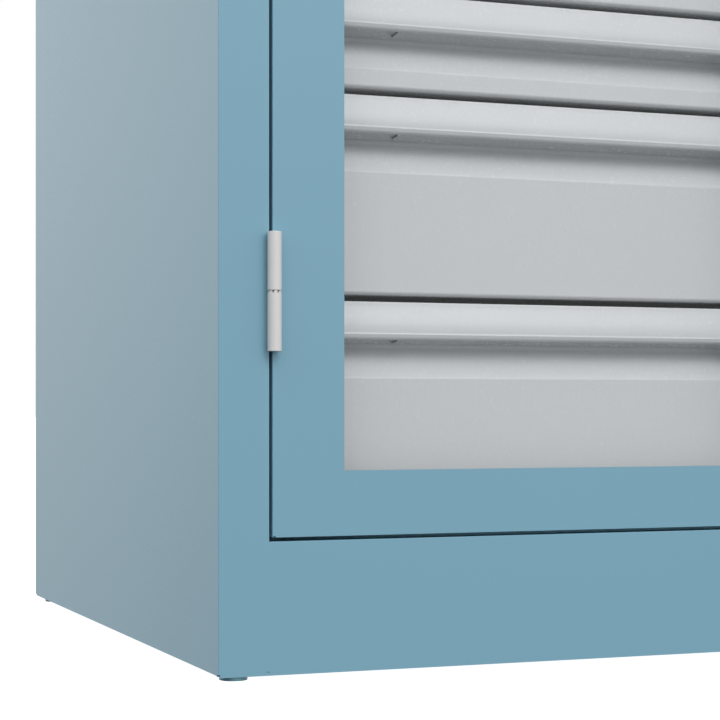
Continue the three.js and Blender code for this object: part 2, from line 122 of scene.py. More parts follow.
# Sheet-metal work
SHEET = 1.5 * MM
FOLD_RADIUS = 1.2 * MM
FOLD_STEPS = 4
FOLD_ANGLE = math.radians(25)  # the least that is rounded
FOLD_LENGTH = 12 * MM  # the shortest that is rounded
FOLD_WIDTH = 2.2 * MM  # the narrowest face beside it
RIM_RADIUS = 0.25 * MM
RIM_STEPS = 2
RIM_ANGLE = math.radians(40)
SMOOTH_ANGLE = 30  # degrees
FLAT = math.radians(0.5)
MERGE = 0.001 * MM
OVERRUN = 0.5 * MM
ROUND_STEPS = 64
BEND_STEPS = 6

# Carcass
WELD_GAP = 0.3 * MM
SEAM_MERGE = 0.08 * MM
FRONT_DROP = 0.65 * MM  # of the front's lower edge
SIDE_RAISE = 0.55 * MM  # of the side's lower edge
PLINTH_DROP = 0.5 * MM  # of the plinth's upper edge
CORNER_CUT_HEIGHT = 1.5 * MM
CORNER_CUT_END = 3.4 * MM  # behind the face
SEAM_MARK_WIDTH = 1.8 * MM
SEAM_MARK_DEPTH = 0.6 * MM
SEAM_MARK_HEIGHTS = (1.4 * MM, 2.2 * MM)

# Feet
FOOT_RIM = 0.12 * MM
STEM_RADIUS = 4 * MM
STEM_CORE = 3.6 * MM
THREAD_TURNS = 18
THREAD_CREST = 0.3  # of a turn
THREAD_ROOT = 0.8  # of a turn

# Doors
DOOR_CUT_ACROSS = (0.6 * MM, 2.2 * MM)
DOOR_CUT_HEIGHT = 1 * MM
DOOR_CUT_DEPTH = 2.2 * MM

# Drawer fronts: depth behind the cabinet's face, and height from the top of the grip
FRONT_WALL = 1.5 * MM
FRONT_BACK = 50 * MM
FRONT_SMOOTH_ANGLE = 24  # degrees
GRIP_TOP = Vector((29, 0)) * MM
GRIP_TOP_BEND = 1.2 * MM
GRIP_SHOULDER = Vector((28.7, -7)) * MM
GRIP_BELLY = Vector((24.3, -12.5)) * MM
GRIP_END = Vector((24.35, -22.6)) * MM
GRIP_STEPS = 16
LIP_BEAD = (Vector((24.35, -22.9)) * MM, Vector((23.95, -23.8)) * MM)
LIP_BOTTOM = Vector((25.0, -27.7)) * MM
LIP_BEND = 3 * MM
RECESS = Vector((47, -30.4)) * MM
RECESS_BEND = 1.2 * MM
RAMP_TOP = Vector((47, -33.3)) * MM
RAMP_BEND = 3 * MM
KINK = Vector((30, -55.5)) * MM
KINK_BEND = 2.2 * MM
PANEL_FOOT = 29.5 * MM
PANEL_FOOT_BEND = 3 * MM
SLOT_FROM_END = 68 * MM
SLOT_WIDTH = 10 * MM
SLOT_DEPTH = 12 * MM
SLOT_START = 27.3 * MM
SLOT_SINK = 0.9 * MM
SLOT_REACH = 3 * MM
TAB_WALL = 0.6 * MM
TAB_DROP = 0.9 * MM

# Hinges
BARREL_RADIUS = 5 * MM
BARREL_GAP = 1.5 * MM
BARREL_RIM = 0.45 * MM
BARREL_FINE_RIM = 0.15 * MM
BORE_RADIUS = 2.9 * MM
BORE_LENGTH = 30.3 * MM
PIN_RADIUS = 2.6 * MM
COLLAR_RADIUS = 2.7 * MM
HEEL_HEIGHT = 34 * MM
HEEL_WIDTH = {"pintle": 1.1 * MM, "sleeve": 2 * MM}
HEEL_FROM_AXIS = {"pintle": -2.3 * MM, "sleeve": 0.7 * MM}
TEETH = 8
TOOTH_START = math.radians(-98.4)
TOOTH_HALF = math.radians(13.5)
TOOTH_RING = (2.65 * MM, 4.85 * MM)
TOOTH_STEPS = 6
TOOTH_AIR = 0.04 * MM

# Lock
SHAFT_HOLE = 4.3 * MM
SHAFT_RADIUS = 4 * MM
SHAFT_LENGTH = 4.2 * MM  # behind the cabinet's face
SQUARE_HALF = 2.8 * MM
ESCUTCHEON_ROUND = 1.6 * MM
KNOB_BACK = 4.6 * MM
KNOB_THICKNESS = 9 * MM
KNOB_ROUND = 2.2 * MM
KNOB_STEPS = 96
WING_WIDTH = 10 * MM
WING_LENGTH = 30 * MM
WING_STEPS = 48
WING_LEVELS = (  # share of the height, and how far the outline is drawn in
    (0, 0),
    (0.1, 0),
    (0.7, 0.4 * MM),
    (0.88, 0.65 * MM),
    (0.95, 1.05 * MM),
    (0.985, 1.6 * MM),
    (1, 2.4 * MM),
)
CORE_RADIUS = 2.5 * MM
CORE_DEPTH = 1.2 * MM
CORE_ROUND = 0.3 * MM
CORE_ROUND_STEPS = 3
KEY_DEPTH = 0.9 * MM
KEY_CUTS = (  # left, right, bottom and top of the keyway's two parts
    (-0.35 * MM, 0.35 * MM, -1.7 * MM, 1.7 * MM),
    (-0.6 * MM, 0.6 * MM, -1.7 * MM, -0.9 * MM),
)
GUIDE_ROUND = 0.6 * MM

# Magnetic catch
CATCH_ROUND = 0.8 * MM
CATCH_ROUND_STEPS = 3
CATCH_EDGE = 10 * MM  # the shortest that is rounded
POLE_OFFSET = 3.2 * MM
POLE_WALL = 1.4 * MM
POLE_INSET = 4 * MM
POLE_PROUD = 0.15 * MM
POLE_DEPTH = 2 * MM

# Heads on the pane retainers
HEAD_RADIUS = 2.4 * MM
HEAD_RISE = 1.1 * MM
HEAD_STEPS = 24
HEAD_INSET = 3.9 * MM
HEAD_FROM_CORNER = 45 * MM
HEAD_SPACING = 95 * MM


def add_camera():
    data = bpy.data.cameras.new("camera")
    data.sensor_width = SENSOR
    data.lens = FOCAL_LENGTH / PHOTO_WIDTH * SENSOR
    data.shift_x = (PHOTO_WIDTH / 2 - PRINCIPAL_X) / PHOTO_WIDTH
    data.shift_y = (HORIZON_Y - PHOTO_WIDTH / 2) / PHOTO_WIDTH
    camera = bpy.data.objects.new("camera", data)
    camera.location = CAMERA_PLACE
    camera.rotation_euler = (math.pi / 2, 0, CAMERA_YAW)
    bpy.context.scene.collection.objects.link(camera)
    bpy.context.scene.camera = camera


def add_node(tree, kind, inputs=(), **settings):
    """A shader node, with its settings, and its inputs set or linked."""
    made = tree.nodes.new(kind)
    for key, value in settings.items():
        setattr(made, key, value)
    for key, value in dict(inputs).items():
        if isinstance(value, bpy.types.NodeSocket):
            tree.links.new(value, made.inputs[key])
        else:
            made.inputs[key].default_value = value
    return made


def math_node(tree, operation, *values):
    inputs = dict(enumerate(values))
    return add_node(tree, "ShaderNodeMath", inputs, operation=operation).outputs[0]


def add_world():
    """Soft light, stronger above the horizon, with a broad lobe in some directions."""
    world = bpy.data.worlds.new("studio")
    world.use_nodes = True
    tree = world.node_tree
    tree.nodes.clear()
    direction = add_node(tree, "ShaderNodeTexCoord").outputs["Generated"]
    axes = add_node(tree, "ShaderNodeSeparateXYZ", {"Vector": direction}).outputs
    low, high = SKY_RISE_RANGE
    ends = {"From Min": low, "From Max": high, "To Min": SKY_LEVEL, "To Max": SKY_LEVEL + SKY_RISE}
    strength = add_node(
        tree, "ShaderNodeMapRange", {"Value": axes["Z"], **ends}, interpolation_type="SMOOTHSTEP"
    ).outputs["Result"]
    for axis, sign, weight in SKY_LOBES:
        inputs = {"Value": axes[axis], "From Min": 0, "From Max": sign, "To Min": 0, "To Max": 1}
        near = add_node(tree, "ShaderNodeMapRange", inputs).outputs["Result"]
        lobe = math_node(tree, "POWER", near, 2)
        strength = math_node(tree, "MULTIPLY_ADD", lobe, weight, strength)
    shades = [
        add_node(tree, "ShaderNodeBackground", {"Color": WHITE, "Strength": level}).outputs[0]
        for level in (strength, BACKDROP_LEVEL)
    ]
    seen = add_node(tree, "ShaderNodeLightPath").outputs["Is Camera Ray"]
    inputs = {0: seen, 1: shades[0], 2: shades[1]}
    mixed = add_node(tree, "ShaderNodeMixShader", inputs).outputs[0]
    add_node(tree, "ShaderNodeOutputWorld", {"Surface": mixed})
    bpy.context.scene.world = world


def add_lamp(name, azimuth, elevation, power):
    """A large soft lamp far from the cabinet, at an azimuth to the right of its front."""
    data = bpy.data.lights.new(name, "AREA")
    data.size = LAMP_SIZE
    data.energy = power
    around, up = math.radians(azimuth), math.radians(elevation)
    outwards = Vector((math.sin(around), -math.cos(around), 0)) * math.cos(up)
    towards = outwards + Vector((0, 0, math.sin(up)))
    light = bpy.data.objects.new(name, data)
    light.location = Vector(LAMP_AIM) + towards * LAMP_DISTANCE
    light.rotation_euler = towards.to_track_quat("Z", "Y").to_euler()
    bpy.context.scene.collection.objects.link(light)


def add_floor():
    """A white floor that glows as in a light tent, so that the shadow on it stays faint."""
    material, tree = new_finish("studio_floor")
    finish_shader(material, tree, {
        "Base Color": FLOOR_GREY,
        "Roughness": FLOOR_ROUGHNESS,
        "Emission Color": WHITE,
        "Emission Strength": FLOOR_GLOW,
    })
    half = FLOOR_SIZE / 2
    corners = [(-half, -half, 0), (half, -half, 0), (half, half, 0), (-half, half, 0)]
    mesh = bpy.data.meshes.new("floor")
    mesh.from_pydata(corners, [], [(0, 1, 2, 3)])
    mesh.materials.append(material)
    floor = link("floor", mesh)
    floor.visible_diffuse = False
    floor.visible_glossy = False


# Finishes
def new_finish(name):
    material = bpy.data.materials.new(name)
    material.use_nodes = True
    tree = material.node_tree
    tree.nodes.clear()
    return material, tree


def noise(tree, scale, detail, stretch=None):
    """Noise in the object's own space, which can be stretched along its axes."""
    place = add_node(tree, "ShaderNodeTexCoord").outputs["Object"]
    if stretch:
        inputs = {"Vector": place, "Scale": stretch}
        place = add_node(tree, "ShaderNodeMapping", inputs).outputs[0]
    inputs = {"Vector": place, "Scale": scale, "Detail": detail}
    return add_node(tree, "ShaderNodeTexNoise", inputs).outputs["Fac"]


def spread(tree, value, low, high):
    """A noise's value, spread between two ends."""
    start, end = NOISE_RANGE
    inputs = {"Value": value, "From Min": start, "From Max": end, "To Min": low, "To Max": high}
    return add_node(tree, "ShaderNodeMapRange", inputs).outputs["Result"]


def tinted(tree, value, colour, amount):
    """The colour, a little darker and lighter with the value."""
    darker = (*[c * (1 - amount) for c in colour], 1)
    lighter = (*[min(1, c * (1 + amount)) for c in colour], 1)
    inputs = {"Factor": value, 6: darker, 7: lighter}  # 6 and 7 are the colours A and B
    return add_node(tree, "ShaderNodeMix", inputs, data_type="RGBA").outputs[2]


def bumped(tree, height, strength, distance=BUMP_HEIGHT):
    inputs = {"Height": height, "Strength": strength, "Distance": distance}
    return add_node(tree, "ShaderNodeBump", inputs).outputs[0]


def finish_shader(material, tree, inputs):
    shader = add_node(tree, "ShaderNodeBsdfPrincipled", inputs).outputs[0]
    add_node(tree, "ShaderNodeOutputMaterial", {"Surface": shader})
    return material


def powder_coat(name, colour, roughness):
    """Satin powder coat, with the fine orange peel of a baked finish."""
    material, tree = new_finish(name)
    cloud = noise(tree, PAINT_CLOUD, detail=2)
    peel = noise(tree, PAINT_PEEL, detail=1)
    grain = noise(tree, PAINT_GRAIN, detail=1)
    relief = math_node(tree, "MULTIPLY_ADD", grain, PAINT_GRAIN_SHARE, peel)
    return finish_shader(material, tree, {
        "Base Color": tinted(tree, cloud, colour, PAINT_TINT),
        "Roughness": spread(tree, peel, roughness - PAINT_GLOSS, roughness + PAINT_GLOSS),
        "Normal": bumped(tree, relief, strength=0.12),
    })


def plated_metal(name, colour, metallic, roughness, mottle):
    """Zinc-plated steel, slightly mottled and finely drawn."""
    material, tree = new_finish(name)
    cloud = noise(tree, PLATE_CLOUD, detail=2)
    drawn = noise(tree, PLATE_LINES, detail=3, stretch=PLATE_STRETCH)
    return finish_shader(material, tree, {
        "Base Color": tinted(tree, cloud, colour, mottle),
        "Metallic": metallic,
        "Roughness": spread(tree, drawn, roughness - PLATE_GLOSS, roughness + PLATE_GLOSS),
        "Normal": bumped(tree, drawn, strength=0.15),
    })


def mill_aluminium(name, colour):
    """Bare aluminium with the drawing lines of an extrusion."""
    material, tree = new_finish(name)
    lines = noise(tree, MILL_LINES, detail=3, stretch=MILL_STRETCH)
    return finish_shader(material, tree, {
        "Base Color": tinted(tree, lines, colour, amount=0.05),
        "Metallic": 1,
        "Roughness": spread(tree, lines, low=0.32, high=0.42),
        "Normal": bumped(tree, lines, strength=0.2),
    })


def moulded_plastic(name, colour):
    """Plastic with the fine grain of an eroded mould."""
    material, tree = new_finish(name)
    grain = noise(tree, PLASTIC_GRAIN, detail=1)
    return finish_shader(material, tree, {
        "Base Color": tinted(tree, grain, colour, amount=0.1),
        "Roughness": spread(tree, grain, low=0.45, high=0.6),
        "Normal": bumped(tree, grain, strength=0.3, distance=0.03 * MM),
    })


def clear_sheet(name, colour):
    """Clear polycarbonate, with a trace of wiping marks in its gloss."""
    material, tree = new_finish(name)
    wiped = noise(tree, WIPE_MARKS, detail=4, stretch=WIPE_STRETCH)
    return finish_shader(material, tree, {
        "Base Color": colour,
        "Roughness": spread(tree, wiped, low=0.02, high=0.07),
        "IOR": 1.58,
        "Alpha": 0.05,
    })


FINISHES = {
    "blue_paint": powder_coat("blue_powder_coat", BLUE, roughness=0.36),
    "grey_paint": powder_coat("grey_powder_coat", GREY, roughness=0.25),
    "zinc": plated_metal("zinc_plate", LIGHT_ZINC, metallic=0.15, roughness=0.42, mottle=0.03),
    "foot_zinc": plated_metal(
        "blue_zinc_plate", BLUE_ZINC, metallic=0.6, roughness=0.33, mottle=0.06
    ),
    "aluminium": mill_aluminium("mill_aluminium", ALUMINIUM),
    "black_plastic": moulded_plastic("black_plastic", BLACK),
    "clear_pane": clear_sheet("clear_sheet", CLEAR),
}


# Meshes
def link(name, mesh):
    made = bpy.data.objects.new(name, mesh)
    bpy.context.scene.collection.objects.link(made)
    return made


def from_bmesh(name, bm):
    bmesh.ops.recalc_face_normals(bm, faces=bm.faces)
    mesh = bpy.data.meshes.new(name)
    bm.to_mesh(mesh)
    bm.free()
    return link(name, mesh)


def prism(name, rings):
    """A closed solid through rings of places, each with as many places as the others."""
    bm = bmesh.new()
    made = [[bm.verts.new(place) for place in ring] for ring in rings]
    for first, second in zip(made, made[1:]):
        for i in range(len(first)):
            j = (i + 1) % len(first)
            bm.faces.new((first[i], first[j], second[j], second[i]))
    bm.faces.new(made[0])
    bm.faces.new(made[-1])
    return from_bmesh(name, bm)


def settle(piece, slot, body, *replaced):
    """Gives a piece its slot's finish and its body, and lets it stand for CAD nodes."""
    piece.data.materials.clear()
    piece.data.materials.append(FINISHES[slot])
    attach(piece, body)
    if replaced:
        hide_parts(*replaced)


def smooth(piece, angle=SMOOTH_ANGLE):
    """Smooth over curves, sharp at corners, with flat faces kept flat to the eye."""
    piece.data.shade_smooth()
    piece.data.set_sharp_from_angle(angle=math.radians(angle))
    weighted = piece.modifiers.new("even_shading", "WEIGHTED_NORMAL")
    weighted.keep_sharp = True
    weighted.weight = 100
    return piece


def simplify(bm, merge):
    """Joins corners that meet, and makes flat faces whole."""
    bmesh.ops.remove_doubles(bm, verts=bm.verts, dist=merge)
    bmesh.ops.dissolve_limit(bm, angle_limit=FLAT, verts=bm.verts, edges=bm.edges)


def merged_copy(name):
    """A CAD node's mesh with its corners joined and its flat faces whole."""
    bm = bmesh.new()
    bm.from_mesh(nodes[name].data)
    simplify(bm, MERGE)
    return bm


def box_piece(name, low, high):
    """A closed box between two corners."""
    bm = bmesh.new()
    centre = (Vector(low) + Vector(high)) / 2
    size = Vector(high) - Vector(low)
    for vert in bmesh.ops.create_cube(bm, size=1)["verts"]:
        vert.co = vert.co * size + centre
    return from_bmesh(name, bm)


def combined(piece, others, operation):
    """The piece joined with others, or cut by them. The others are used up."""
    group = bpy.data.collections.new("operands")
    for other in others:
        group.objects.link(other)
    boolean = piece.modifiers.new("combined", "BOOLEAN")
    boolean.operand_type = "COLLECTION"
    boolean.collection = group
    boolean.solver = "EXACT"
    boolean.use_self = True
    boolean.operation = operation
    bpy.context.view_layer.update()
    evaluated = piece.evaluated_get(bpy.context.evaluated_depsgraph_get())
    mesh = bpy.data.meshes.new_from_object(evaluated)
    piece.modifiers.remove(boolean)
    old = piece.data
    piece.data = mesh
    bpy.data.meshes.remove(old)
    for other in others:
        bpy.data.meshes.remove(other.data)
    bpy.data.collections.remove(group)
    return piece


def round_edges(bm, radius, steps, shortest):
    """Rounds the outward corners between wide faces, as a press brake leaves them."""
    picked = []
    for edge in bm.edges:
        if len(edge.link_faces) != 2 or not edge.is_convex or edge.calc_length() < shortest:
            continue
        if edge.calc_face_angle() < FOLD_ANGLE:
            continue
        width = min(face.calc_area() for face in edge.link_faces) / edge.calc_length()
        if width > FOLD_WIDTH:
            picked.append(edge)
    bmesh.ops.bevel(
        bm,
        geom=picked,
        offset=radius,
        offset_type="OFFSET",
        segments=steps,
        profile=0.5,
        affect="EDGES",
        clamp_overlap=True,
    )


def rounded(piece, radius=FOLD_RADIUS, steps=FOLD_STEPS, shortest=FOLD_LENGTH, merge=MERGE):
    """Rounds a piece's folds in its mesh."""
    bm = bmesh.new()
    bm.from_mesh(piece.data)
    simplify(bm, merge)
    round_edges(bm, radius, steps, shortest)
    bm.to_mesh(piece.data)
    bm.free()
    return piece


def soften(piece, radius=RIM_RADIUS):
    """Takes the knife edge off every corner that is left."""
    weld = piece.modifiers.new("joined_corners", "WELD")
    weld.merge_threshold = MERGE
    bevel = piece.modifiers.new("soft_edges", "BEVEL")
    bevel.width = radius
    bevel.segments = RIM_STEPS
    bevel.limit_method = "ANGLE"
    bevel.angle_limit = RIM_ANGLE


def turned(name, profile, place, axis="Z", steps=ROUND_STEPS):
    """A round solid from a profile of (radius, height), turned about an axis through a place.

    Heights run along +Z, or along -Y for the axis "Y". A profile that ends where it starts
    makes a ring.
    """
    bm = bmesh.new()
    rings = []
    closed = profile[0] == profile[-1]
    for radius, height in profile[:-1] if closed else profile:
        ring = []
        for i in range(steps if radius else 1):
            angle = 2 * math.pi * i / steps
            co = Vector((radius * math.cos(angle), radius * math.sin(angle), height))
            if axis == "Y":
                co = Vector((co.x, -co.z, co.y))
            ring.append(bm.verts.new(co + Vector(place)))
        rings.append(ring)
    if closed:
        rings.append(rings[0])
    for first, second in zip(rings, rings[1:]):
        for i in range(steps):
            j = i + 1
            corners = [
                first[i % len(first)],
                first[j % len(first)],
                second[j % len(second)],
                second[i % len(second)],
            ]
            corners = list(dict.fromkeys(corners))
            if len(corners) > 2:
                bm.faces.new(corners)
    return from_bmesh(name, bm)


def joined(piece, others):
    """Takes other pieces' meshes into a piece as they are. The others are used up."""
    bm = bmesh.new()
    bm.from_mesh(piece.data)
    for other in others:
        bm.from_mesh(other.data)
        bpy.data.meshes.remove(other.data)
    bm.to_mesh(piece.data)
    bm.free()
    return piece


def filleted(path):
    """Points along a path of (corner, radius), with the corners rounded."""
    corners = [corner for corner, _ in path]
    made = [corners[0]]
    for before, (corner, radius), after in zip(corners, path[1:], corners[2:]):
        if not radius:
            made.append(corner)
            continue
        back = (before - corner).normalized()
        ahead = (after - corner).normalized()
        half = back.angle(ahead) / 2
        centre = corner + (back + ahead).normalized() * radius / math.sin(half)
        reach = radius / math.tan(half)
        start = corner + back * reach - centre
        end = corner + ahead * reach - centre
        for i in range(BEND_STEPS + 1):
            made.append(centre + start.lerp(end, i / BEND_STEPS).normalized() * radius)
    made.append(corners[-1])
    return made


def offset(path, distance):
    """A path moved to its right, with mitred corners."""
    made = []
    for i, corner in enumerate(path):
        before = corner - path[i - 1] if i else path[1] - corner
        after = path[i + 1] - corner if i + 1 < len(path) else before
        right = Vector((before.y, -before.x)).normalized()
        next_right = Vector((after.y, -after.x)).normalized()
        made.append(corner + (right + next_right) * distance / (1 + right.dot(next_right)))
    return made


# Carcass
def welded_copy(name):
    """A sheet of the carcass, grown over the hairline gaps to the sheets beside it."""
    bm = merged_copy(name)
    plinth_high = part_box("plinth_panel")[1]
    side_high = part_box("left_side_panel")[1]
    for vert in bm.verts:
        if name in ("plinth_panel", "top_rail") and abs(vert.co.x) > plinth_high.x - MERGE:
            vert.co.x += math.copysign(WELD_GAP, vert.co.x)
        if name == "plinth_panel" and vert.co.z > plinth_high.z - MERGE:
            vert.co.z -= PLINTH_DROP
        if name != "top_panel" and vert.co.z > side_high.z - MERGE:
            vert.co.z += WELD_GAP
    return from_bmesh(name + "_copy", bm)


def front_strip():
    """The lower edge of the front, which stands a little lower than those of the sides."""
    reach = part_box("top_panel")[1].x - SHEET
    low = (-reach, FACE, BOTTOM - FRONT_DROP)
    return box_piece("strip", low, (reach, FACE + SHEET, BOTTOM + SHEET / 2))


def corner_reliefs():
    """The small cuts at the carcass's lower corners, under its sides and at its weld seams."""
    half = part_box("top_panel")[1].x
    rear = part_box("left_side_panel")[1].y - FACE
    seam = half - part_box("plinth_panel")[1].x - WELD_GAP
    spots = (  # from and to, counted from the side, from the face and up from the lower edge
        ((-OVERRUN, SHEET), (SHEET, CORNER_CUT_END), (-OVERRUN, CORNER_CUT_HEIGHT)),
        ((-OVERRUN, SHEET), (-OVERRUN, SHEET), (-OVERRUN, CORNER_CUT_HEIGHT)),
        ((-OVERRUN, SHEET), (CORNER_CUT_END, rear + OVERRUN), (-OVERRUN, SIDE_RAISE)),
        ((seam - SEAM_MARK_WIDTH, seam), (-OVERRUN, SEAM_MARK_DEPTH), SEAM_MARK_HEIGHTS),
    )
    made = []
    for side in SIDES.values():
        for across, deep, high in spots:
            xs = sorted(side * (half - x) for x in across)
            low = (xs[0], FACE + deep[0], BOTTOM + high[0])
            made.append(box_piece("relief", low, (xs[1], FACE + deep[1], BOTTOM + high[1])))
    return made


def add_carcass():
    """The outer sheets of the carcass, welded and ground flush."""
    shell = welded_copy("left_side_panel")
    shell.name = "welded_carcass"
    others = ["right_side_panel", "plinth_panel", "top_rail", "top_panel"]
    combined(shell, [welded_copy(name) for name in others] + [front_strip()], "UNION")
    combined(shell, corner_reliefs(), "DIFFERENCE")
    rounded(shell, merge=SEAM_MERGE)
    smooth(shell)
    settle(shell, "blue_paint", "carcass", "left_side_panel", *others)


def add_foot(name):
    """A levelling foot, a turned plate on its threaded stem."""
    low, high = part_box(name)
    radius = (high.x - low.x) / 2
    plate = BOTTOM - WELD_GAP
    profile = [
        (0, 0),
        (radius - FOOT_RIM, 0),
        (radius, FOOT_RIM),
        (radius, plate - FOOT_RIM),
        (radius - FOOT_RIM, plate),
        (STEM_RADIUS, plate),
    ]
    pitch = (high.z - plate) / THREAD_TURNS
    for turn in range(THREAD_TURNS):
        profile.append((STEM_RADIUS, plate + (turn + THREAD_CREST) * pitch))
        profile.append((STEM_CORE, plate + (turn + THREAD_ROOT) * pitch))
    profile += [(STEM_CORE, high.z), (0, high.z)]
    piece = turned(name + "_turned", profile, ((low.x + high.x) / 2, (low.y + high.y) / 2, 0))
    settle(smooth(piece), "foot_zinc", "carcass", name)


# Doors
def add_door(label):
    """A folded door frame with its bend radii and the small cuts in its corners."""
    name = label + "_door_frame"
    low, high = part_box(name)
    cuts = []
    for x, inwards in ((low.x, 1), (high.x, -1)):
        xs = sorted(x + inwards * across for across in DOOR_CUT_ACROSS)
        for bottom, top in (
            (low.z - OVERRUN, low.z + DOOR_CUT_HEIGHT),
            (high.z - DOOR_CUT_HEIGHT, high.z + OVERRUN),
        ):
            cut_low = (xs[0], FACE - OVERRUN, bottom)
            cuts.append(box_piece("cut", cut_low, (xs[1], FACE + DOOR_CUT_DEPTH, top)))
    frame_piece = from_bmesh(label + "_door", merged_copy(name))
    combined(frame_piece, cuts, "DIFFERENCE")
    rounded(frame_piece)
    smooth(frame_piece)
    settle(frame_piece, "blue_paint", label + "_door", name)


def ring_tooth(axis, middle, bottom, top):
    """One segment of the slotted bearing ring between the two barrels."""
    inner, outer = TOOTH_RING
    sections = []
    for i in range(TOOTH_STEPS + 1):
        angle = middle + TOOTH_HALF * (2 * i / TOOTH_STEPS - 1)
        across, along = math.cos(angle), math.sin(angle)
        corners = ((inner, bottom), (outer, bottom), (outer, top), (inner, top))
        sections.append([(axis[0] + r * across, axis[1] + r * along, z) for r, z in corners])
    return prism("tooth", sections)


def add_hinge_half(label, level, kind):
    """A welded half of a barrel hinge, the lower one with its pin and its bearing ring."""
    name = f"{label}_{level}_hinge_{kind}"
    side = SIDES[label]
    low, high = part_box(name)
    sleeve_low, sleeve_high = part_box(f"{label}_{level}_hinge_sleeve")
    axis = ((low.x + high.x) / 2, low.y + BARREL_RADIUS, low.z)
    length = sleeve_high.z - sleeve_low.z
    radius, rim, fine = BARREL_RADIUS, BARREL_RIM, BARREL_FINE_RIM
    if kind == "pintle":
        top = length - WELD_GAP
        pin_end = high.z - low.z
        collar = top + BARREL_GAP
        profile = [
            (0, 0),
            (radius - rim, 0),
            (radius - fine, fine),
            (radius, rim),
            (radius, top - fine),
            (radius - fine, top),
            (COLLAR_RADIUS, top),
            (COLLAR_RADIUS, collar),
            (PIN_RADIUS, collar),
            (PIN_RADIUS, pin_end - rim),
            (PIN_RADIUS - rim, pin_end),
            (0, pin_end),
        ]
    else:
        profile = [
            (0, BORE_LENGTH),
            (BORE_RADIUS, BORE_LENGTH),
            (BORE_RADIUS, 0),
            (radius - fine, 0),
            (radius, fine),
            (radius, length - rim),
            (radius - fine, length - fine),
            (radius - rim, length),
            (0, length),
        ]
    barrel = turned(name + "_turned", profile, axis)
    near = axis[0] - side * HEEL_FROM_AXIS[kind]
    far = near + (side if kind == "pintle" else -side) * HEEL_WIDTH[kind]
    xs = sorted((near, far))
    heel_low = low.z + (length - HEEL_HEIGHT) / 2
    heel = box_piece(
        "heel", (xs[0], axis[1], heel_low), (xs[1], high.y, heel_low + HEEL_HEIGHT)
    )
    extras = [heel]
    if kind == "pintle":
        ring_low, ring_top = low.z + top + TOOTH_AIR, low.z + collar - TOOTH_AIR
        for i in range(TEETH):
            middle = TOOTH_START + 2 * math.pi * i / TEETH
            extras.append(ring_tooth(axis, middle, ring_low, ring_top))
    joined(barrel, extras)
    body = "carcass" if kind == "pintle" else label + "_door"
    settle(smooth(barrel), "zinc", body, name)


def dome(name, place):
    """A low round fastener head that stands on a face, along +Y."""
    arc = [math.pi / 2 * i / BEND_STEPS for i in range(BEND_STEPS)]
    profile = [
        (0, 0),
        *[(HEAD_RADIUS * math.cos(a), -HEAD_RISE * math.sin(a)) for a in arc],
        (0, -HEAD_RISE),
    ]
    return turned(name, profile, place, "Y", HEAD_STEPS)


def add_retainer_heads(label):
    """The round heads that hold the pane's retainer, all round its lip."""
    low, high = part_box(label + "_pane_retainer")
    spots = []
    for start, end, fixed, along in (
        (low.x, high.x, (low.z + HEAD_INSET, high.z - HEAD_INSET), "x"),
        (low.z, high.z, (low.x + HEAD_INSET, high.x - HEAD_INSET), "z"),
    ):
        span = end - start - 2 * HEAD_FROM_CORNER
        count = round(span / HEAD_SPACING)
        for i in range(count + 1):
            at = start + HEAD_FROM_CORNER + span * i / count
            spots += [(at, other) if along == "x" else (other, at) for other in fixed]
    heads = [dome("head", (x, high.y, z)) for x, z in spots]
    piece = joined(heads[0], heads[1:])
    piece.name = label + "_retainer_heads"
    settle(smooth(piece), "zinc", label + "_door")


# Drawers
def front_profile(height):
    """The folded section of a drawer front, from its bottom return to its top return."""
    foot = -height
    grip = []
    for i in range(GRIP_STEPS):
        t = 1 - i / GRIP_STEPS
        upper = GRIP_TOP * (1 - t) ** 3 + GRIP_SHOULDER * 3 * t * (1 - t) ** 2
        lower = GRIP_BELLY * 3 * t * t * (1 - t) + GRIP_END * t ** 3
        grip.append((upper + lower, 0))
    return filleted([
        (Vector((FRONT_BACK, foot)), 0),
        (Vector((PANEL_FOOT, foot)), PANEL_FOOT_BEND),
        (KINK, KINK_BEND),
        (RAMP_TOP, RAMP_BEND),
        (RECESS, RECESS_BEND),
        (LIP_BOTTOM, LIP_BEND),
        *[(point, 0) for point in reversed(LIP_BEAD)],
        *grip,
        (GRIP_TOP, GRIP_TOP_BEND),
        (Vector((FRONT_BACK, 0)), 0),
    ])


def shell_along_x(name, outer, wall, half, top):
    """A folded sheet with closed ends, open at the back, from its section."""
    inner = offset(outer, wall)
    bm = bmesh.new()
    rows = []
    for path, reach in ((outer, half), (inner, half - wall)):
        for x in (-reach, reach):
            rows.append([bm.verts.new((x, FACE + p.x, top + p.y)) for p in path])
    outer_left, outer_right, inner_left, inner_right = rows
    for left, right in ((outer_left, outer_right), (inner_left, inner_right)):
        for i in range(len(left) - 1):
            bm.faces.new((left[i], left[i + 1], right[i + 1], right[i]))
    for row in rows:
        bm.faces.new(row)
    for i in (0, -1):
        bm.faces.new((outer_left[i], outer_right[i], inner_right[i], inner_left[i]))
    bm.faces.new((outer_left[0], outer_left[-1], inner_left[-1], inner_left[0]))
    bm.faces.new((outer_right[0], outer_right[-1], inner_right[-1], inner_right[0]))
    return from_bmesh(name, bm)


def underside(depth):
    """The height of a grip's underside below the grip's top, at a depth behind the face."""
    slope = (RECESS.y - LIP_BOTTOM.y) / (RECESS.x - LIP_BOTTOM.x)
    return LIP_BOTTOM.y + (depth - LIP_BOTTOM.x) * slope


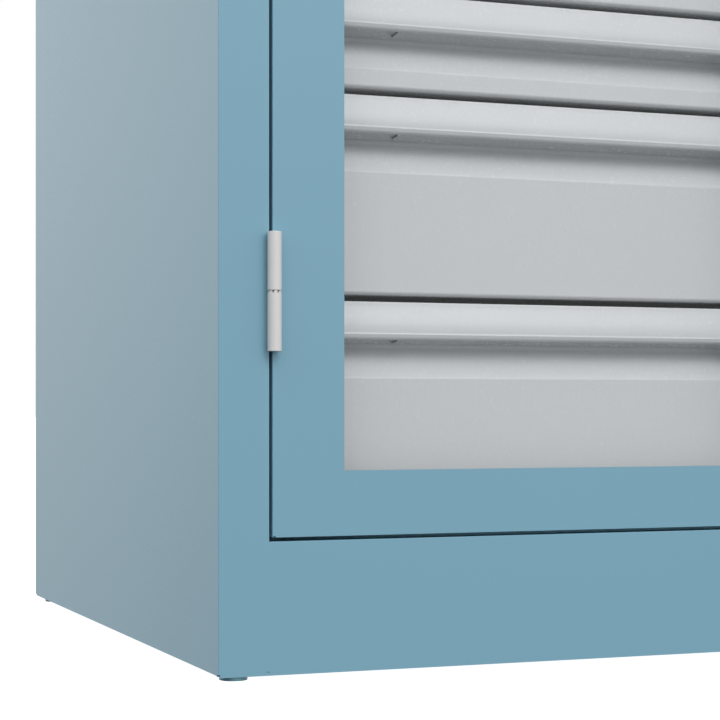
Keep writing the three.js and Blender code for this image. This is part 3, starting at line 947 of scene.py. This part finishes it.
def finger_slots(half, top):
    """Cutters for the two small three-cornered pockets in the underside of a grip."""
    made = []
    for side in SIDES.values():
        outside = side * (half - SLOT_FROM_END)
        inside = side * (half - SLOT_FROM_END - SLOT_WIDTH)
        outline = [(outside, SLOT_START), (inside, SLOT_START), (inside, SLOT_START + SLOT_DEPTH)]
        made.append(prism("slot", [
            [(x, FACE + y, top + underside(y) + z) for x, y in outline]
            for z in (-SLOT_REACH, SLOT_SINK)
        ]))
    return made


def slot_tab(side, half, top):
    """The thin tab that is pressed down along the inner edge of a pocket."""
    section = (
        (SLOT_START, FRONT_WALL / 2),
        (SLOT_START + SLOT_DEPTH, FRONT_WALL / 2),
        (SLOT_START + SLOT_DEPTH, -TAB_DROP),
        (SLOT_START, -TAB_DROP),
    )
    inside = half - SLOT_FROM_END - SLOT_WIDTH
    return prism("tab", [
        [(x, FACE + depth, top + underside(depth) + z) for depth, z in section]
        for x in sorted(side * (inside + wall) for wall in (0, -TAB_WALL))
    ])


def add_drawer_front(number):
    name = f"drawer_{number}_front"
    low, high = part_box(name)
    section = front_profile(high.z - low.z)
    piece = shell_along_x(name + "_folded", section, FRONT_WALL, high.x, high.z)
    combined(piece, finger_slots(high.x, high.z), "DIFFERENCE")
    joined(piece, [slot_tab(side, high.x, high.z) for side in SIDES.values()])
    smooth(piece, FRONT_SMOOTH_ANGLE)
    settle(piece, "grey_paint", f"drawer_{number}", name)


# Lock and catch
def rim_arc(radius, height, bend, steps=BEND_STEPS):
    """The rounded outer edge of a turned plate, from its side to its face."""
    turns = [math.pi / 2 * i / steps for i in range(steps + 1)]
    return [
        (radius - bend * (1 - math.cos(a)), height - bend * (1 - math.sin(a))) for a in turns
    ]


def add_escutcheon():
    low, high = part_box("lock_escutcheon")
    radius = (high.x - low.x) / 2
    place = ((low.x + high.x) / 2, high.y, (low.z + high.z) / 2)
    thick = high.y - low.y
    profile = [
        (SHAFT_HOLE, 0),
        (radius - RIM_RADIUS, 0),
        (radius, RIM_RADIUS),
        *rim_arc(radius, thick, ESCUTCHEON_ROUND),
        (SHAFT_HOLE + RIM_RADIUS, thick),
        (SHAFT_HOLE, thick - RIM_RADIUS),
        (SHAFT_HOLE, 0),
    ]
    piece = turned("escutcheon_turned", profile, place, "Y")
    settle(smooth(piece), "zinc", "right_door", "lock_escutcheon")


def wing_piece(place, back, front):
    """The finger wing of the knob: round-ended, narrower to its front, with a soft crown."""
    reach = (WING_LENGTH - WING_WIDTH) / 2
    rings = []
    for share, inset in WING_LEVELS:
        radius = WING_WIDTH / 2 - inset
        y = back + (front - back) * share
        ring = []
        for i in range(WING_STEPS):
            angle = 2 * math.pi * i / WING_STEPS
            up = reach if math.sin(angle) >= 0 else -reach
            x = place.x + radius * math.cos(angle)
            ring.append((x, y, place.z + up + radius * math.sin(angle)))
        rings.append(ring)
    return prism("wing", rings)


def add_knob():
    """The turn knob with its wing and its shaft."""
    low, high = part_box("lock_knob")
    axis = Vector(((low.x + high.x) / 2, 0, (low.z + high.z) / 2))
    back = FACE - KNOB_BACK
    radius = (high.x - low.x) / 2
    thick = KNOB_THICKNESS
    square_start = KNOB_BACK + SHAFT_LENGTH
    profile = [
        (0, -square_start),
        (SHAFT_RADIUS, -square_start),
        (SHAFT_RADIUS, 0),
        (radius - RIM_RADIUS, 0),
        (radius, RIM_RADIUS),
        *rim_arc(radius, thick, KNOB_ROUND),
        (0, thick),
    ]
    knob = turned("knob_moulded", profile, (axis.x, back, axis.z), "Y", KNOB_STEPS)
    wing = wing_piece(axis, back - thick + OVERRUN, low.y)
    square = box_piece(
        "square",
        (axis.x - SQUARE_HALF, FACE + SHAFT_LENGTH - OVERRUN, axis.z - SQUARE_HALF),
        (axis.x + SQUARE_HALF, high.y, axis.z + SQUARE_HALF),
    )
    combined(knob, [wing, square], "UNION")
    seat_radius = CORE_RADIUS + RIM_RADIUS
    seat_end = CORE_DEPTH * 2
    seat_profile = [(0, 0), (seat_radius, 0), (seat_radius, seat_end), (0, seat_end)]
    seat = turned("seat", seat_profile, (axis.x, low.y + CORE_DEPTH, axis.z), "Y")
    combined(knob, [seat], "DIFFERENCE")
    settle(smooth(knob), "black_plastic", "lock", "lock_knob")


def add_lock_core():
    """The key-operated core, set in the wing of the knob."""
    low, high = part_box("lock_knob")
    place = Vector(((low.x + high.x) / 2, low.y + CORE_DEPTH, (low.z + high.z) / 2))
    profile = [
        (0, 0),
        (CORE_RADIUS, 0),
        *rim_arc(CORE_RADIUS, CORE_DEPTH, CORE_ROUND, CORE_ROUND_STEPS),
        (0, CORE_DEPTH),
    ]
    core = turned("lock_core", profile, place, "Y")
    cuts = []
    for left, right, bottom, top in KEY_CUTS:
        cuts.append(box_piece(
            "key_cut",
            (place.x + left, low.y - OVERRUN, place.z + bottom),
            (place.x + right, low.y + KEY_DEPTH, place.z + top),
        ))
    combined(core, cuts, "DIFFERENCE")
    settle(smooth(core), "zinc", "lock")


def add_catch():
    """The magnetic catch: a moulded housing with its two pole plates."""
    low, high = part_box("magnetic_catch")
    housing = box_piece("catch_moulded", low, high)
    middle = (low + high) / 2
    reach = (high.x - low.x) / 2 - POLE_INSET
    plates = []
    grooves = []
    for side in SIDES.values():
        z = middle.z + side * POLE_OFFSET
        for made, grown, front in (
            (plates, 0, low.y - POLE_PROUD),
            (grooves, RIM_RADIUS, low.y - OVERRUN),
        ):
            across, up = reach + grown, POLE_WALL / 2 + grown
            made.append(box_piece(
                "pole",
                (middle.x - across, front, z - up),
                (middle.x + across, low.y + POLE_DEPTH, z + up),
            ))
    combined(housing, grooves, "DIFFERENCE")
    rounded(housing, CATCH_ROUND, CATCH_ROUND_STEPS, CATCH_EDGE)
    settle(smooth(housing), "black_plastic", "carcass", "magnetic_catch")
    poles = joined(plates[0], plates[1:])
    poles.name = "catch_poles"
    soften(poles, POLE_WALL / 4)
    settle(poles, "zinc", "carcass")


add_camera()
add_world()
for lamp in LAMPS:
    add_lamp(*lamp)
add_floor()
bpy.context.scene.view_settings.view_transform = "Standard"

for part in frame["record"]["subparts"]:
    nodes[part["node"]].data.materials[0] = FINISHES[part["material_slot"]]

add_carcass()
for end in ("front", "rear"):
    for label in SIDES:
        add_foot(f"{end}_{label}_foot")
for label in SIDES:
    add_door(label)
    for level in ("lower", "upper"):
        for kind in ("pintle", "sleeve"):
            add_hinge_half(label, level, kind)
    add_retainer_heads(label)
for number in DRAWERS:
    add_drawer_front(number)
add_escutcheon()
add_knob()
add_lock_core()
add_catch()

for name in ("floor_panel", "back_panel", "lock_cam", "upper_lock_rod", "lower_lock_rod"):
    soften(nodes[name])
for label in SIDES:
    for name in ("runner_frame", "pane_retainer", "window_pane"):
        soften(nodes[f"{label}_{name}"])
for number in DRAWERS:
    for name in ("tray", "left_middle_rail", "right_middle_rail"):
        soften(nodes[f"drawer_{number}_{name}"])
for end in ("upper", "lower"):
    soften(nodes[end + "_rod_guide"], GUIDE_ROUND)
